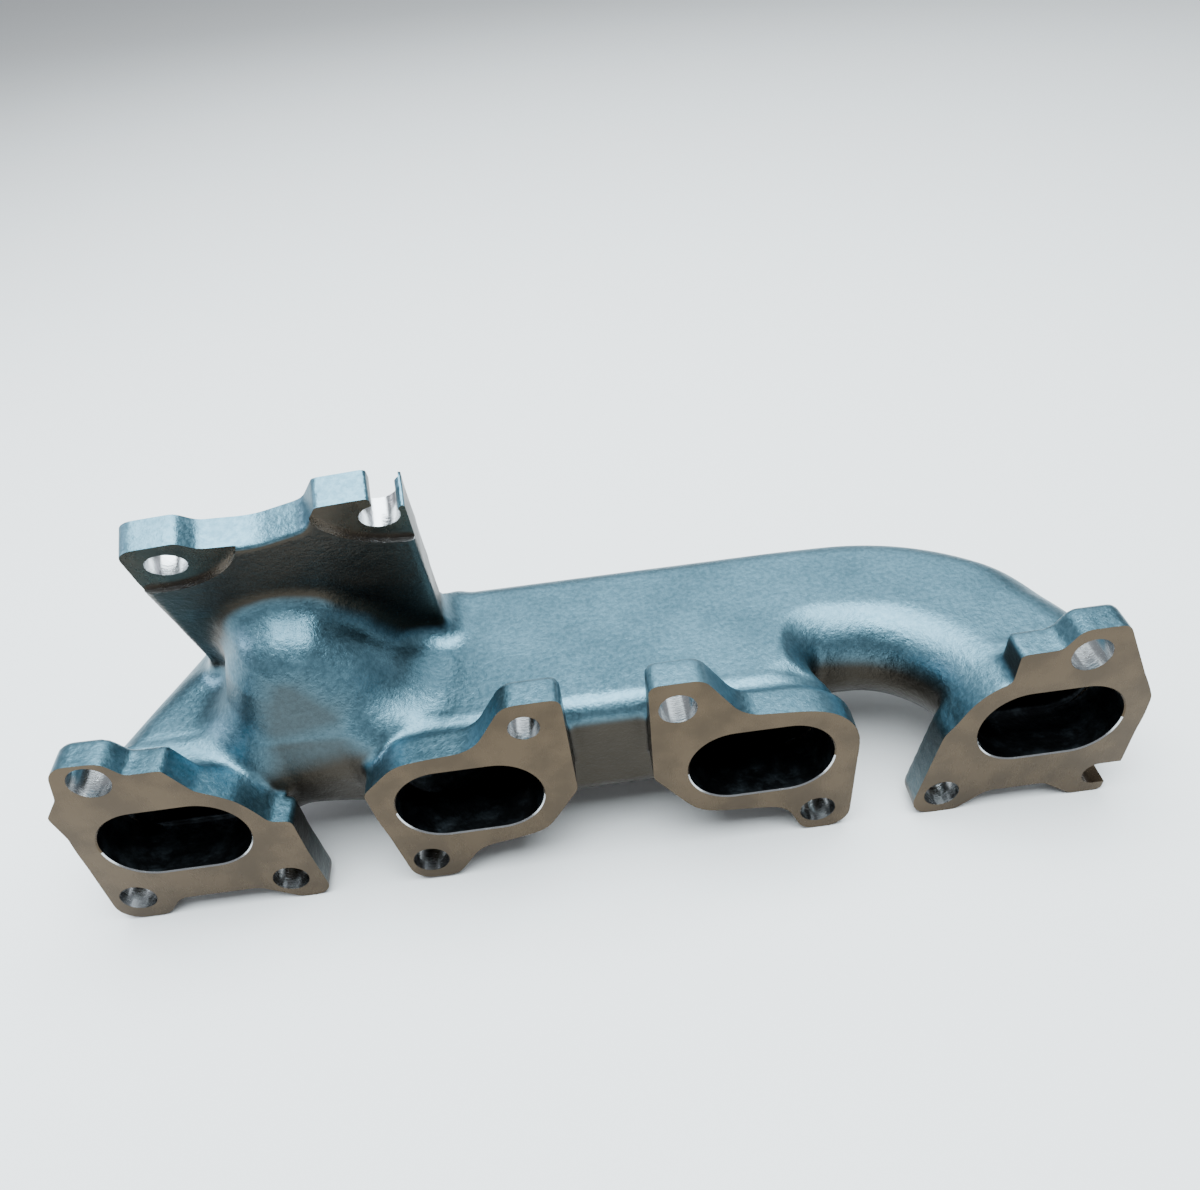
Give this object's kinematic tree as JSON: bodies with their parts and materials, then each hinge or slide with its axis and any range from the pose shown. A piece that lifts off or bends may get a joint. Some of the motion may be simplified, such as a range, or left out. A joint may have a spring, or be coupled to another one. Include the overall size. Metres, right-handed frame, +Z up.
{
  "type": "exhaust manifold",
  "caption": "Cast exhaust manifold: head flanges with oval ports feed a flat-topped gallery and a domed collector, with a tilted turbine flange.",
  "frame": {"origin": "centre of the tight locating stud hole, on the head face", "axes": "+X along the row of ports, away from the turbine end; +Y away from the cylinder head; +Z up, to the side where the turbine flange stands"},
  "size_m": [0.3306, 0.081, 0.1403],
  "materials": {
    "cast_steel": "cast stainless steel, fine orange-peel skin, satin",
    "machined_steel": "cast stainless steel with milled faces and drilled holes"
  },
  "bodies": {
    "root": {"collector": "cast_steel", "collector_dome": "cast_steel", "gallery_centre": "cast_steel", "gallery_left": "cast_steel", "gallery_right": "cast_steel", "head_flange_1": "machined_steel", "head_flange_2": "machined_steel", "head_flange_3": "machined_steel", "head_flange_4": "machined_steel", "runner_1": "cast_steel", "runner_2": "cast_steel", "runner_3": "cast_steel", "runner_4": "cast_steel", "saddle_wall": "cast_steel", "turbine_flange": "machined_steel"}
  },
  "joints": []
}
